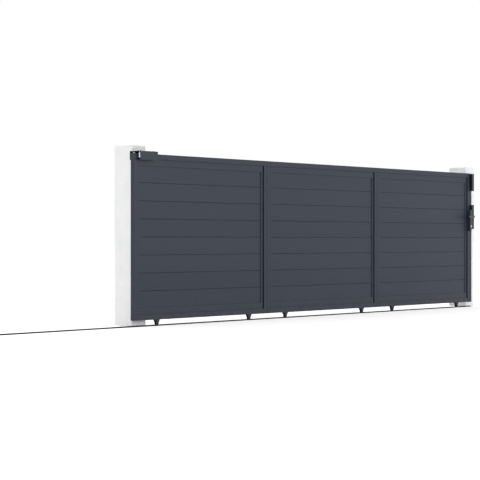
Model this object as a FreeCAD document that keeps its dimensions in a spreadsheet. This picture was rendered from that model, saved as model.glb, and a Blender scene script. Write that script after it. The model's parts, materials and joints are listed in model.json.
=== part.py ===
# Sliding driveway gate: a leaf of three framed board modules on grooved wheels that run along a ground rail.
# A roller guide on the left pillar keeps it upright; a receiver and a keeper on the right pillar catch it.
# Origin at the centre of the left pillar's base, +X towards the closing side, +Y to the back, +Z up.
import FreeCAD, Part
import math
import operator
import os
from types import SimpleNamespace

import Sketcher

os.makedirs("parts", exist_ok=True)

# Driving dimensions in millimetres
dimensions = {
    # leaf
    "module_width": 1400,
    "leaf_height": 1200,
    "leaf_depth": 40,
    "ground_gap": 45,
    "leaf_travel": 3950,
    # frame extrusions
    "tube_wall": 2,
    "tube_round": 2,
    "rail_face": 40,
    "stile_face": 36,
    "rail_bead": 47,
    "stile_bead": 22,
    "bead_recess": 7,
    "bead_floor": 3,
    "closing_width": 30,
    "cap_thickness": 5,
    # board infill
    "board_thickness": 12,
    "board_grip": 8.6,
    "board_play": 0.3,
    "joint_depth": 2.2,
    "joint_width": 5,
    # pillars
    "pillar_width": 140,
    "pillar_depth": 195,
    "pillar_height": 1310,
    "pillar_arris": 4,
    "pillar_gap": 30,
    "leaf_overlap": 38,
    "closing_gap": 6,
    # ground rail
    "track_base_width": 50,
    "track_base_thickness": 3,
    "track_crown_width": 12,
    "track_crown_height": 5.5,
    # wheels and carriers
    "wheel_inset_left": 235,
    "wheel_inset_right": 190,
    "wheel_radius": 13.5,
    "wheel_tread": 9.5,
    "wheel_width": 18,
    "groove_width": 13,
    "wheel_play": 0.3,
    "axle_radius": 2.5,
    "axle_play": 0.15,
    "axle_head_radius": 4.5,
    "axle_head_length": 2,
    "carrier_plate": 2,
    "carrier_side_gap": 0.5,
    "carrier_top_width": 46,
    "carrier_nose_width": 13,
    "carrier_nose_drop": 7,
    "carrier_nose_cut": 3,
    "slot_end_gap": 5,
    "slot_side_gap": 0.5,
    # guide on the left pillar
    "guide_start": 20,
    "guide_length": 183,
    "guide_lip_start": 33,
    "guide_drop": 47,
    "guide_headroom": 13,
    "guide_plate": 4,
    "guide_bend": 3,
    "roller_diameter": 22,
    "roller_height": 42,
    "roller_play": 0.5,
    "roller_side_gap": 3,
    "roller_end_play": 1.5,
    "roller_seat_gap": 0.3,
    "roller_inset": 28,
    "stud_radius": 4,
    "stud_play": 0.15,
    "stud_head_radius": 8,
    "stud_head_height": 4,
    # receiver and keeper on the right pillar
    "catch_plate": 4,
    "catch_bend": 3,
    "catch_gap": 6,
    "catch_lip": 37,
    "catch_front_gap": 20,
    "catch_flange": 54,
    "receiver_drop": 4,
    "receiver_height": 160,
    "keeper_drop": 114,
    "keeper_height": 224,
    # lock
    "lock_plate_width": 44,
    "lock_plate_height": 225,
    "lock_plate_thickness": 8,
    "lock_back_thickness": 4,
    "lock_plate_drop": 133,
    "lock_setback": 43,
    "lock_plate_round": 5,
    "lever_height": 840,
    "lever_neck_radius": 10,
    "lever_collar_depth": 5,
    "lever_play": 0.2,
    "lever_reach": 46,
    "lever_length": 118,
    "lever_grip_depth": 13,
    "lever_grip_height": 22,
    "lever_round": 5,
    "key_drop": 85,
    "key_radius": 8.5,
    "key_lobe_width": 10,
    "key_lobe_drop": 24.5,
    "key_play": 0.2,
    "key_proud": 3,
    "key_slot_width": 2.4,
    "key_slot_height": 9,
    "key_slot_depth": 2,
    "hook_slot_width": 16,
    "hook_slot_height": 70,
    # stop at the open end of the track
    "stop_gap": 5,
    "stop_width": 60,
    "stop_plate": 6,
    "stop_height": 105,
    "stop_foot": 100,
    "stop_gusset_height": 80,
    "buffer_radius": 18,
    "buffer_length": 25,
    "buffer_height": 66,
}

modules = ("left", "middle", "right")
boards_per_module = 8
same_place = 0.01

doc = FreeCAD.newDocument("SlidingGate")
sheet = doc.addObject("Spreadsheet::Sheet", "Sizes")
for row, (alias, value) in enumerate(dimensions.items(), start=1):
    sheet.set(f"A{row}", alias)
    sheet.set(f"B{row}", str(value))
    sheet.setAlias(f"B{row}", alias)
doc.recompute()


# Values that carry their sheet expression

class Size:
    # A number together with the sheet expression that gives it
    def __init__(self, value, text):
        self.value = value
        self.text = text

    def __add__(self, other):
        return joined(self, "+", other)

    def __radd__(self, other):
        return joined(other, "+", self)

    def __sub__(self, other):
        return joined(self, "-", other)

    def __rsub__(self, other):
        return joined(other, "-", self)

    def __mul__(self, other):
        return joined(self, "*", other)

    def __rmul__(self, other):
        return joined(other, "*", self)

    def __truediv__(self, other):
        return joined(self, "/", other)

    def __neg__(self):
        return joined(0, "-", self)


signs = {"+": operator.add, "-": operator.sub, "*": operator.mul, "/": operator.truediv}


def as_size(item):
    return item if isinstance(item, Size) else Size(float(item), str(float(item)))


def joined(left, sign, right):
    left, right = as_size(left), as_size(right)
    return Size(signs[sign](left.value, right.value), f"({left.text} {sign} {right.text})")


d = SimpleNamespace(**{alias: Size(float(sheet.get(alias)), f"Sizes.{alias}") for alias in dimensions})


# Document helpers

def bind(item, **links):
    for name, size in links.items():
        item.setExpression(name, as_size(size).text)


def place(item, x, y, z):
    for axis, size in zip("xyz", (x, y, z)):
        item.setExpression(f"Placement.Base.{axis}", as_size(size).text)


def new_body(label, x=0, y=0, z=0):
    body = doc.addObject("PartDesign::Body", label)
    body.Label = label
    place(body, x, y, z)
    return body


def new_sketch(body, plane, offset=0):
    sketch = body.newObject("Sketcher::SketchObject", f"{body.Label}_sketch")
    support = next(item for item in body.Origin.OriginFeatures if item.Role == plane)
    sketch.AttachmentSupport = (support, [""])
    sketch.MapMode = "FlatFace"
    sketch.setExpression("AttachmentOffset.Base.z", as_size(offset).text)
    return sketch


def pin(sketch, geometry, point, x, y):
    # Ties a point of the sketch to its distances from the sketch's axes
    for kind, size, axis in (("DistanceX", as_size(x), -2), ("DistanceY", as_size(y), -1)):
        if size.value == 0:
            sketch.addConstraint(Sketcher.Constraint("PointOnObject", geometry, point, axis))
            continue
        index = sketch.addConstraint(Sketcher.Constraint(kind, -1, 1, geometry, point, size.value))
        sketch.setExpression(f"Constraints[{index}]", size.text)


def vector(point):
    return FreeCAD.Vector(as_size(point[0]).value, as_size(point[1]).value, 0)


def arc_between(start, end, radius):
    # Minor arc from start to end; a positive radius turns anticlockwise, a negative one clockwise
    chord = end - start
    side = FreeCAD.Vector(-chord.y, chord.x, 0).normalize()
    rise = math.sqrt(radius ** 2 - (chord.Length / 2) ** 2)
    centre = (start + end) / 2 + side * math.copysign(rise, radius)
    first, last = (start, end) if radius > 0 else (end, start)
    angles = [math.atan2(spot.y - centre.y, spot.x - centre.x) for spot in (first, last)]
    circle = Part.Circle(centre, FreeCAD.Vector(0, 0, 1), abs(radius))
    return Part.ArcOfCircle(circle, *angles)


def outline(sketch, points):
    # Closed outline; a point's third entry is the radius of the arc that leads from it to the next point
    ends = []
    for place_in, point in enumerate(points):
        following = points[(place_in + 1) % len(points)]
        start, end = vector(point), vector(following)
        if len(point) == 3:
            radius = as_size(point[2])
            index = sketch.addGeometry(arc_between(start, end, radius.value))
            bend = sketch.addConstraint(Sketcher.Constraint("Radius", index, abs(radius.value)))
            sketch.setExpression(f"Constraints[{bend}]", f"abs({radius.text})")
            ends.append((index, 1, 2) if radius.value > 0 else (index, 2, 1))
        else:
            index = sketch.addGeometry(Part.LineSegment(start, end))
            ends.append((index, 1, 2))
    for place_in, (index, first, last) in enumerate(ends):
        after = ends[(place_in + 1) % len(ends)]
        sketch.addConstraint(Sketcher.Constraint("Coincident", index, last, after[0], after[1]))
        pin(sketch, index, first, *points[place_in][:2])


def rectangle(sketch, left, bottom, width, height):
    right, top = left + width, bottom + height
    outline(sketch, [(left, bottom), (right, bottom), (right, top), (left, top)])


def rounded_rectangle(sketch, left, bottom, width, height, radius):
    # width and height may be negative, which turns the corners the other way round
    along = radius if width.value > 0 else -radius
    up = radius if height.value > 0 else -radius
    bend = radius if (width.value > 0) == (height.value > 0) else -radius
    right, top = left + width, bottom + height
    outline(sketch, [(left + along, bottom), (right - along, bottom, bend), (right, bottom + up),
                     (right, top - up, bend), (right - along, top), (left + along, top, bend),
                     (left, top - up), (left, bottom + up, bend)])


def hexagon(sketch, x, y, radius):
    # Six-sided outline with two corners level with its centre
    corners = [(1, 0), (0.5, 1), (-0.5, 1), (-1, 0), (-0.5, -1), (0.5, -1)]
    flat = radius * math.sqrt(0.75)
    outline(sketch, [(x + radius * along, y + flat * up) for along, up in corners])


def circle(sketch, x, y, radius):
    spot = vector((x, y))
    index = sketch.addGeometry(Part.Circle(spot, FreeCAD.Vector(0, 0, 1), as_size(radius).value))
    pin(sketch, index, 3, x, y)
    size = sketch.addConstraint(Sketcher.Constraint("Radius", index, as_size(radius).value))
    sketch.setExpression(f"Constraints[{size}]", as_size(radius).text)


def pad(body, sketch, length, side="One side", back=False):
    feature = body.newObject("PartDesign::Pad", f"{body.Label}_pad")
    feature.Profile = sketch
    feature.SideType = side
    feature.Reversed = back
    bind(feature, Length=length)
    doc.recompute()
    return feature


def pocket(body, sketch, length, side="One side", back=False):
    before = body.Shape.Volume
    feature = body.newObject("PartDesign::Pocket", f"{body.Label}_pocket")
    feature.Profile = sketch
    feature.SideType = side
    feature.Reversed = back
    bind(feature, Length=length)
    doc.recompute()
    if body.Shape.Volume >= before:
        raise ValueError(f"a pocket of {body.Label} cuts nothing")
    return feature


def revolve(body, sketch, axis):
    feature = body.newObject("PartDesign::Revolution", f"{body.Label}_turned")
    feature.Profile = sketch
    feature.ReferenceAxis = (sketch, [axis])
    feature.Angle = 360
    doc.recompute()
    return feature


def ease(body, feature, kind, wanted, **links):
    # Fillet or chamfer on the edges of a feature for which wanted is true
    names = [f"Edge{number}" for number, edge in enumerate(feature.Shape.Edges, start=1) if wanted(edge)]
    dressed = body.newObject(f"PartDesign::{kind}", f"{body.Label}_eased")
    dressed.Base = (feature, names)
    bind(dressed, **links)
    doc.recompute()
    return dressed


def runs_through(edge, spots, axes):
    # True for a straight edge along the third axis that passes one of the spots
    ends = [[getattr(corner.Point, axis) for axis in axes] for corner in edge.Vertexes]
    return any(all(math.dist(end, spot) < same_place for end in ends) for spot in spots)


# Shared places
pillar_front = -(d.pillar_depth / 2)
leaf_front = pillar_front - d.pillar_gap - d.leaf_depth
leaf_centre = leaf_front + d.leaf_depth / 2
leaf_left = -(d.pillar_width / 2) - d.leaf_overlap
leaf_right = leaf_left + len(modules) * d.module_width + d.closing_width
leaf_top = d.ground_gap + d.leaf_height
track_left = leaf_left - d.leaf_travel - d.stop_gap - d.buffer_length
track_crown_radius = ((d.track_crown_width * d.track_crown_width / 4
                       + d.track_crown_height * d.track_crown_height) / (2 * d.track_crown_height))
axle_height = d.track_base_thickness + d.track_crown_height + d.wheel_play + d.wheel_tread
carrier_inside = d.wheel_width + 2 * d.carrier_side_gap
carrier_width = carrier_inside + 2 * d.carrier_plate
bead_depth = d.leaf_depth - 2 * d.bead_recess
bead_slot = d.board_thickness + 2 * d.board_play
bead_lip = (bead_depth - bead_slot) / 2
lock_axis = leaf_right - d.lock_setback
lock_plate_bottom = d.lever_height - d.lock_plate_drop
key_level = d.lock_plate_drop - d.key_drop


def module_left(number):
    return leaf_left + number * d.module_width


# Pillars

def pillar(label, centre):
    body = new_body(label, x=centre)
    sketch = new_sketch(body, "XY_Plane")
    rectangle(sketch, -(d.pillar_width / 2), -(d.pillar_depth / 2), d.pillar_width, d.pillar_depth)
    shaft = pad(body, sketch, d.pillar_height)
    ease(body, shaft, "Chamfer", lambda edge: edge.CenterOfMass.z > same_place, Size=d.pillar_arris)
    return body


# Ground rail: a base strip with a rounded crown that the wheels straddle

def ground_rail(label, left, length):
    body = new_body(label, left, leaf_centre)
    sketch = new_sketch(body, "YZ_Plane")
    half_base = d.track_base_width / 2
    half_crown = d.track_crown_width / 2
    top = d.track_base_thickness
    outline(sketch, [(-half_base, 0), (half_base, 0), (half_base, top), (half_crown, top, track_crown_radius),
                     (-half_crown, top), (-half_base, top)])
    pad(body, sketch, length)
    return body


# Stop at the open end: a gusseted angle with a rubber buffer

def rail_end_stop():
    body = new_body("rail_end_stop", track_left, leaf_centre)
    sketch = new_sketch(body, "XZ_Plane")
    outline(sketch, [(0, 0), (0, d.stop_height), (-d.stop_plate, d.stop_height),
                     (-d.stop_plate, d.stop_plate), (-d.stop_foot, d.stop_plate), (-d.stop_foot, 0)])
    pad(body, sketch, d.stop_width, side="Symmetric")
    web = new_sketch(body, "XZ_Plane")
    outline(web, [(-d.stop_plate, d.stop_plate), (-d.stop_plate, d.stop_gusset_height),
                  (-d.stop_gusset_height, d.stop_plate)])
    pad(body, web, d.stop_plate, side="Symmetric")
    return body


def stop_buffer():
    body = new_body("stop_buffer", track_left, leaf_centre, d.buffer_height)
    sketch = new_sketch(body, "YZ_Plane")
    circle(sketch, 0, 0, d.buffer_radius)
    pad(body, sketch, d.buffer_length)
    return body


# Guide: a folded hood on the left pillar with studs for the rollers

roller_radius = d.roller_diameter / 2
roller_rows = {"front": -d.roller_play - roller_radius, "back": d.leaf_depth + d.roller_play + roller_radius}
roller_columns = {"left": d.guide_start + d.roller_inset,
                  "right": d.guide_start + d.guide_length - d.roller_inset}
stud_length = d.roller_height + d.roller_end_play + d.roller_seat_gap


def guide_bracket():
    body = new_body("guide_bracket", leaf_left, leaf_front, leaf_top)
    wall = d.leaf_depth + d.pillar_gap
    lip_inside = -d.roller_play - d.roller_diameter - d.roller_side_gap
    lip_outside = lip_inside - d.guide_plate
    under, over = d.guide_headroom, d.guide_headroom + d.guide_plate
    hood = new_sketch(body, "YZ_Plane", d.guide_start)
    outline(hood, [(wall, -d.guide_drop), (wall, over), (lip_outside, over), (lip_outside, under),
                   (wall - d.guide_plate, under), (wall - d.guide_plate, -d.guide_drop)])
    pad(body, hood, d.guide_length)
    lip = new_sketch(body, "YZ_Plane", d.guide_lip_start)
    rectangle(lip, lip_outside, -d.guide_drop, d.guide_plate, d.guide_drop + under)
    folded = pad(body, lip, d.guide_start + d.guide_length - d.guide_lip_start)
    outer_bends = [(wall.value, over.value), (lip_outside.value, over.value)]
    ease(body, folded, "Fillet", lambda edge: runs_through(edge, outer_bends, "yz"), Radius=d.guide_bend)
    studs = new_sketch(body, "XY_Plane", under)
    heads = new_sketch(body, "XY_Plane", under - stud_length)
    for across in roller_rows.values():
        for along in roller_columns.values():
            circle(studs, along, across, d.stud_radius)
            hexagon(heads, along, across, d.stud_head_radius)
    pad(body, studs, stud_length, back=True)
    pad(body, heads, d.stud_head_height, back=True)
    return body


def guide_roller(label, along, across):
    bottom = leaf_top + d.guide_headroom - stud_length + d.roller_seat_gap
    body = new_body(label, leaf_left + along, leaf_front + across, bottom)
    sketch = new_sketch(body, "XY_Plane")
    circle(sketch, 0, 0, roller_radius)
    circle(sketch, 0, 0, d.stud_radius + d.stud_play)
    pad(body, sketch, d.roller_height)
    return body


# Receiver and keeper: folded plates on the right pillar that stand round the leaf's end

def catch_plate(label, bottom, height):
    body = new_body(label, leaf_right, leaf_front, bottom)
    sketch = new_sketch(body, "XY_Plane")
    wall = d.leaf_depth + d.pillar_gap
    near, far = d.catch_gap, d.catch_gap + d.catch_plate
    front, inside = -d.catch_front_gap - d.catch_plate, -d.catch_front_gap
    step = wall - d.catch_plate
    outline(sketch, [(far - d.catch_lip, front), (far, front), (far, step), (far + d.catch_flange, step),
                     (far + d.catch_flange, wall), (near, wall), (near, inside), (far - d.catch_lip, inside)])
    folded = pad(body, sketch, height)
    outer_bends = [(far.value, front.value), (near.value, wall.value)]
    rounded = ease(body, folded, "Fillet", lambda edge: runs_through(edge, outer_bends, "xy"),
                   Radius=d.catch_bend + d.catch_plate)
    inner_bends = [(far.value, step.value), (near.value, inside.value)]
    ease(body, rounded, "Fillet", lambda edge: runs_through(edge, inner_bends, "xy"), Radius=d.catch_bend)
    return body


def lock_keeper():
    bottom = d.lever_height - d.keeper_drop
    body = catch_plate("lock_keeper", bottom, d.keeper_height)
    slot = new_sketch(body, "YZ_Plane", d.catch_gap)
    rectangle(slot, (d.leaf_depth - d.hook_slot_width) / 2, d.keeper_drop - d.hook_slot_height / 2,
              d.hook_slot_width, d.hook_slot_height)
    pocket(body, slot, d.catch_plate, back=True)
    return body


# Frame extrusions: a hollow tube with a set-back channel that grips the boards

def channel(sketch, along, start, depth, floor_first):
    # U-shaped channel section; along is 0 where it opens upwards in the sketch, 1 where it opens sideways
    outer = [d.bead_recess, d.bead_recess + bead_depth]
    inner = [d.bead_recess + bead_lip, d.bead_recess + bead_depth - bead_lip]
    floor, mouth = start, start + depth
    step = floor + floor_first
    points = [(outer[0], floor), (outer[1], floor), (outer[1], mouth), (inner[1], mouth), (inner[1], step),
              (inner[0], step), (inner[0], mouth), (outer[0], mouth)]
    outline(sketch, [point[::-1] for point in points] if along else points)


def rail(label, number, inward):
    # inward is 1 for the bottom rail, whose boards are above it, and -1 for the top rail
    body = new_body(label, module_left(number), leaf_front, d.ground_gap if inward > 0 else leaf_top)
    tube = new_sketch(body, "YZ_Plane")
    outer = d.rail_face * inward
    wall = d.tube_wall * inward
    rounded_rectangle(tube, as_size(0), as_size(0), d.leaf_depth, outer, d.tube_round)
    rectangle(tube, d.tube_wall, wall, d.leaf_depth - 2 * d.tube_wall, outer - 2 * wall)
    pad(body, tube, d.module_width)
    bead = new_sketch(body, "YZ_Plane", d.stile_face)
    channel(bead, 0, outer, d.rail_bead * inward, d.bead_floor * inward)
    pad(body, bead, d.module_width - 2 * d.stile_face)
    return body


def wheel_places():
    return d.wheel_inset_left, d.module_width - d.wheel_inset_right


def bottom_rail(label, number):
    body = rail(label, number, 1)
    length = d.carrier_top_width + 2 * d.slot_end_gap
    width = carrier_width + 2 * d.slot_side_gap
    slots = new_sketch(body, "XY_Plane")
    for place_along in wheel_places():
        rectangle(slots, place_along - length / 2, (d.leaf_depth - width) / 2, length, width)
    pocket(body, slots, d.tube_wall, back=True)
    return body


def stile(label, number, inward):
    # inward is 1 for a left stile, whose boards are to its right, and -1 for a right stile
    left = module_left(number) if inward > 0 else module_left(number + 1)
    body = new_body(label, left, leaf_front, d.ground_gap)
    tube = new_sketch(body, "XY_Plane", d.rail_face)
    outer = d.stile_face * inward
    wall = d.tube_wall * inward
    rounded_rectangle(tube, as_size(0), as_size(0), outer, d.leaf_depth, d.tube_round)
    rectangle(tube, wall, d.tube_wall, outer - 2 * wall, d.leaf_depth - 2 * d.tube_wall)
    pad(body, tube, d.leaf_height - 2 * d.rail_face)
    bead = new_sketch(body, "XY_Plane", d.rail_face + d.rail_bead)
    channel(bead, 1, outer, d.stile_bead * inward, d.bead_floor * inward)
    pad(body, bead, d.leaf_height - 2 * (d.rail_face + d.rail_bead))
    return body


# Infill: interlocking boards with a V-joint on both faces

def board_infill(label, number):
    face = leaf_front + (d.leaf_depth - d.board_thickness) / 2
    body = new_body(label, module_left(number), face, d.ground_gap)
    left = d.stile_face + d.stile_bead - d.board_grip
    bottom = d.rail_face + d.rail_bead - d.board_grip
    height = d.leaf_height - 2 * bottom
    sheet_outline = new_sketch(body, "XZ_Plane")
    rectangle(sheet_outline, left, bottom, d.module_width - 2 * left, height)
    pad(body, sheet_outline, d.board_thickness, back=True)
    pitch = height / boards_per_module
    joint = new_sketch(body, "YZ_Plane")
    level, half = bottom + pitch, d.joint_width / 2
    for side, floor in ((as_size(0), d.joint_depth), (d.board_thickness, d.board_thickness - d.joint_depth)):
        outline(joint, [(side, level - half), (floor, level), (side, level + half)])
    groove = pocket(body, joint, d.module_width, back=True)
    rows = body.newObject("PartDesign::LinearPattern", f"{label}_joints")
    rows.Originals = [groove]
    rows.Direction = (next(item for item in body.Origin.OriginFeatures if item.Role == "Z_Axis"), [""])
    rows.Occurrences = boards_per_module - 1
    bind(rows, Length=pitch * (boards_per_module - 2))
    body.Tip = rows
    doc.recompute()
    return body


# Closing profile on the leaf's right end, with a slot for the hook bolt

def closing_profile():
    body = new_body("closing_profile", leaf_right - d.closing_width, leaf_front, d.ground_gap)
    tube = new_sketch(body, "XY_Plane")
    rounded_rectangle(tube, as_size(0), as_size(0), d.closing_width, d.leaf_depth, d.tube_round)
    inside = d.closing_width - 2 * d.tube_wall
    rectangle(tube, d.tube_wall, d.tube_wall, inside, d.leaf_depth - 2 * d.tube_wall)
    pad(body, tube, d.leaf_height)
    slot = new_sketch(body, "YZ_Plane", d.closing_width - d.tube_wall)
    slot_bottom = d.lever_height - d.ground_gap - d.hook_slot_height / 2
    rectangle(slot, (d.leaf_depth - d.hook_slot_width) / 2, slot_bottom,
              d.hook_slot_width, d.hook_slot_height)
    pocket(body, slot, d.tube_wall, back=True)
    return body


def leaf_end_caps():
    # Plugs that close the open tube ends, flush with them
    inside = d.leaf_depth - 2 * d.tube_wall
    rail_inside = d.rail_face - 2 * d.tube_wall
    closing_inside = d.closing_width - 2 * d.tube_wall
    back = leaf_front + d.tube_wall
    closing_left = leaf_right - d.closing_width + d.tube_wall
    plugs = {
        "bottom_rail_plug": (d.cap_thickness, rail_inside, leaf_left, d.ground_gap + d.tube_wall),
        "top_rail_plug": (d.cap_thickness, rail_inside, leaf_left, leaf_top - d.rail_face + d.tube_wall),
        "closing_bottom_plug": (closing_inside, d.cap_thickness, closing_left, d.ground_gap),
        "closing_top_plug": (closing_inside, d.cap_thickness, closing_left, leaf_top - d.cap_thickness),
    }
    caps = doc.addObject("Part::Compound", "leaf_end_caps")
    boxes = []
    for label, (length, height, left, bottom) in plugs.items():
        box = doc.addObject("Part::Box", label)
        bind(box, Length=length, Width=inside, Height=height)
        place(box, left, back, bottom)
        boxes.append(box)
    caps.Links = boxes
    doc.recompute()
    return caps


# Lock: plates on both faces of the leaf and a lever on the front

def key_profile(body, shape, length, back, play):
    # Round barrel with a straight lobe below it; shape is pad for the cylinder, pocket for its hole
    lobe = new_sketch(body, "XZ_Plane")
    rectangle(lobe, -(d.key_lobe_width / 2) - play, key_level - d.key_lobe_drop - play,
              d.key_lobe_width + 2 * play, d.key_lobe_drop + play)
    shape(body, lobe, length, back=back)
    barrel = new_sketch(body, "XZ_Plane")
    circle(barrel, 0, key_level, d.key_radius + play)
    shape(body, barrel, length, back=back)


def lock_plate(label, face, thickness, to_back):
    body = new_body(label, lock_axis, face, lock_plate_bottom)
    sketch = new_sketch(body, "XZ_Plane")
    rounded_rectangle(sketch, -(d.lock_plate_width / 2), as_size(0), d.lock_plate_width, d.lock_plate_height,
                      d.lock_plate_round)
    pad(body, sketch, thickness, back=to_back)
    key_profile(body, pocket, thickness, not to_back, d.key_play)
    return body


def lock_front_plate():
    body = lock_plate("lock_front_plate", leaf_front, d.lock_plate_thickness, False)
    bore = new_sketch(body, "XZ_Plane", d.lock_plate_thickness)
    circle(bore, 0, d.lock_plate_drop, d.lever_neck_radius + d.lever_play)
    pocket(body, bore, d.lever_collar_depth + d.lever_play)
    return body


def lock_cylinder(label, face, thickness, to_back):
    # The half of the key cylinder that shows on one face, with its key slot
    body = new_body(label, lock_axis, face, lock_plate_bottom)
    length = thickness + d.key_proud
    key_profile(body, pad, length, to_back, as_size(0))
    slot = new_sketch(body, "XZ_Plane", -length if to_back else length)
    slot_bottom = key_level - d.key_slot_height / 2
    rectangle(slot, -(d.key_slot_width / 2), slot_bottom, d.key_slot_width, d.key_slot_height)
    pocket(body, slot, d.key_slot_depth, back=to_back)
    return body


def lever_handle():
    body = new_body("lever_handle", lock_axis, leaf_front - d.lock_plate_thickness, d.lever_height)
    grip = new_sketch(body, "YZ_Plane", d.lever_neck_radius + d.lever_round)
    rounded_rectangle(grip, -d.lever_reach - d.lever_grip_depth, -(d.lever_grip_height / 2),
                      d.lever_grip_depth, d.lever_grip_height, d.lever_round)
    pad(body, grip, d.lever_length, back=True)
    neck = new_sketch(body, "XZ_Plane", -d.lever_collar_depth)
    circle(neck, 0, 0, d.lever_neck_radius)
    pad(body, neck, d.lever_collar_depth + d.lever_reach + d.lever_grip_depth / 2)
    return body


# Running gear: a folded carrier with its axle, and a wheel grooved to the rail's crown

def wheel_carrier(label, centre):
    body = new_body(label, centre, leaf_centre, axle_height)
    top = d.ground_gap + d.rail_face - d.tube_wall - axle_height
    shoulder = d.ground_gap - axle_height
    half_top, half_nose = d.carrier_top_width / 2, d.carrier_nose_width / 2
    cut = d.carrier_nose_cut
    cheek = new_sketch(body, "XZ_Plane")
    low = -d.carrier_nose_drop
    outline(cheek, [(-half_nose + cut, low), (half_nose - cut, low), (half_nose, low + cut),
                    (half_top, shoulder), (half_top, top), (-half_top, top),
                    (-half_top, shoulder), (-half_nose, low + cut)])
    pad(body, cheek, carrier_width, side="Symmetric")
    clear = new_sketch(body, "YZ_Plane")
    rectangle(clear, -(carrier_inside / 2), -d.carrier_nose_drop, carrier_inside,
              d.carrier_nose_drop + top - d.carrier_plate)
    pocket(body, clear, d.carrier_top_width, side="Symmetric")
    axle = new_sketch(body, "XZ_Plane")
    circle(axle, 0, 0, d.axle_radius)
    pad(body, axle, carrier_width, side="Symmetric")
    for side in (1, -1):
        head = new_sketch(body, "XZ_Plane", carrier_width / 2 * side)
        hexagon(head, as_size(0), as_size(0), d.axle_head_radius)
        pad(body, head, d.axle_head_length, back=side < 0)
    return body


def track_wheel(label, centre):
    body = new_body(label, centre, leaf_centre, axle_height)
    half, groove = d.wheel_width / 2, d.groove_width / 2
    bore = d.axle_radius + d.axle_play
    sketch = new_sketch(body, "YZ_Plane")
    outline(sketch, [(-half, bore), (half, bore), (half, d.wheel_radius), (groove, d.wheel_radius),
                     (groove, d.wheel_tread), (-groove, d.wheel_tread), (-groove, d.wheel_radius),
                     (-half, d.wheel_radius)])
    revolve(body, sketch, "H_Axis")
    return body


# Assembly
pieces = [pillar("left_pillar", as_size(0)),
          pillar("right_pillar", leaf_right + d.closing_gap + d.pillar_width / 2)]

section = (leaf_right - track_left) / len(modules)
for number, side in enumerate(modules):
    pieces.append(ground_rail(f"ground_rail_{side}", track_left + number * section, section))
pieces += [rail_end_stop(), stop_buffer(), guide_bracket()]
for row_name, across in roller_rows.items():
    for column_name, along in roller_columns.items():
        pieces.append(guide_roller(f"{row_name}_{column_name}_guide_roller", along, across))
receiver_bottom = leaf_top - d.receiver_drop - d.receiver_height
pieces += [catch_plate("upper_receiver", receiver_bottom, d.receiver_height), lock_keeper()]

for number, side in enumerate(modules):
    pieces += [rail(f"{side}_module_top_rail", number, -1),
               bottom_rail(f"{side}_module_bottom_rail", number),
               stile(f"{side}_module_left_stile", number, 1),
               stile(f"{side}_module_right_stile", number, -1),
               board_infill(f"{side}_module_boards", number)]
    for order, along in enumerate(wheel_places(), start=1):
        wheel_number = 2 * number + order
        centre = module_left(number) + along
        pieces += [wheel_carrier(f"wheel_carrier_{wheel_number}", centre),
                   track_wheel(f"track_wheel_{wheel_number}", centre)]
leaf_back = leaf_front + d.leaf_depth
pieces += [closing_profile(), leaf_end_caps(), lock_front_plate(), lever_handle(),
           lock_plate("lock_back_plate", leaf_back, d.lock_back_thickness, True),
           lock_cylinder("front_lock_cylinder", leaf_front, d.lock_plate_thickness, False),
           lock_cylinder("back_lock_cylinder", leaf_back, d.lock_back_thickness, True)]

# Checks and export
doc.recompute()
for item in doc.Objects:
    if "Invalid" in item.State or "Error" in item.State:
        raise ValueError(f"{item.Label} failed: {item.State}")
for piece in pieces:
    if piece.Shape.isNull() or not piece.Shape.isValid():
        raise ValueError(f"{piece.Label} has no valid shape")
for piece in pieces:
    piece.Shape.exportStep(f"parts/{piece.Label}.step")
    box = piece.Shape.BoundBox
    print(f"{piece.Label}: {len(piece.Shape.Solids)} solid, x {box.XMin:.1f} {box.XMax:.1f}, "
          f"y {box.YMin:.1f} {box.YMax:.1f}, z {box.ZMin:.1f} {box.ZMax:.1f}")
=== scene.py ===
import json
import math

import bmesh
import bpy
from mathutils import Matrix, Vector


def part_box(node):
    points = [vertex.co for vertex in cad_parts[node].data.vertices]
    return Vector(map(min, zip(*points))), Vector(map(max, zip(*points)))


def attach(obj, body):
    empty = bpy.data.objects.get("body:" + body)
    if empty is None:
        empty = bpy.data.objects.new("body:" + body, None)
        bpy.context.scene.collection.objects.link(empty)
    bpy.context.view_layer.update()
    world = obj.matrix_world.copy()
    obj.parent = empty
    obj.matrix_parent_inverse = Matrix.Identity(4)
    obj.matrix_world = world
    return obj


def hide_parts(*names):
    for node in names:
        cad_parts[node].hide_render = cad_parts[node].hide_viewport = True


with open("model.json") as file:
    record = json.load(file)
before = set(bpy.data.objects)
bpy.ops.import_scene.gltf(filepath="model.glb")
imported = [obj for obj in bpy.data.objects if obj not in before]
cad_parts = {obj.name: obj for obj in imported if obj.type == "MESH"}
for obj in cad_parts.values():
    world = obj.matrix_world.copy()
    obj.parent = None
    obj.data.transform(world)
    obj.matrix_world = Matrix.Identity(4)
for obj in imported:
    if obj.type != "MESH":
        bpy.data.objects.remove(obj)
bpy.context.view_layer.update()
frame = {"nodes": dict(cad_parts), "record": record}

print("frame loaded:", len(frame["nodes"]), "nodes")


# shader expressions

class Wire:
    # a socket that takes part in Python sums
    def __init__(self, paint, socket):
        self.paint = paint
        self.socket = socket

    def combine(self, operation, first, second):
        return self.paint.add("ShaderNodeMath", {"operation": operation}, {0: first, 1: second})()

    def __add__(self, other):
        return self.combine("ADD", self, other)

    def __radd__(self, other):
        return self.combine("ADD", other, self)

    def __sub__(self, other):
        return self.combine("SUBTRACT", self, other)

    def __rsub__(self, other):
        return self.combine("SUBTRACT", other, self)

    def __mul__(self, other):
        return self.combine("MULTIPLY", self, other)

    def __rmul__(self, other):
        return self.combine("MULTIPLY", other, self)

    def __truediv__(self, other):
        return self.combine("DIVIDE", self, other)


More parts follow.
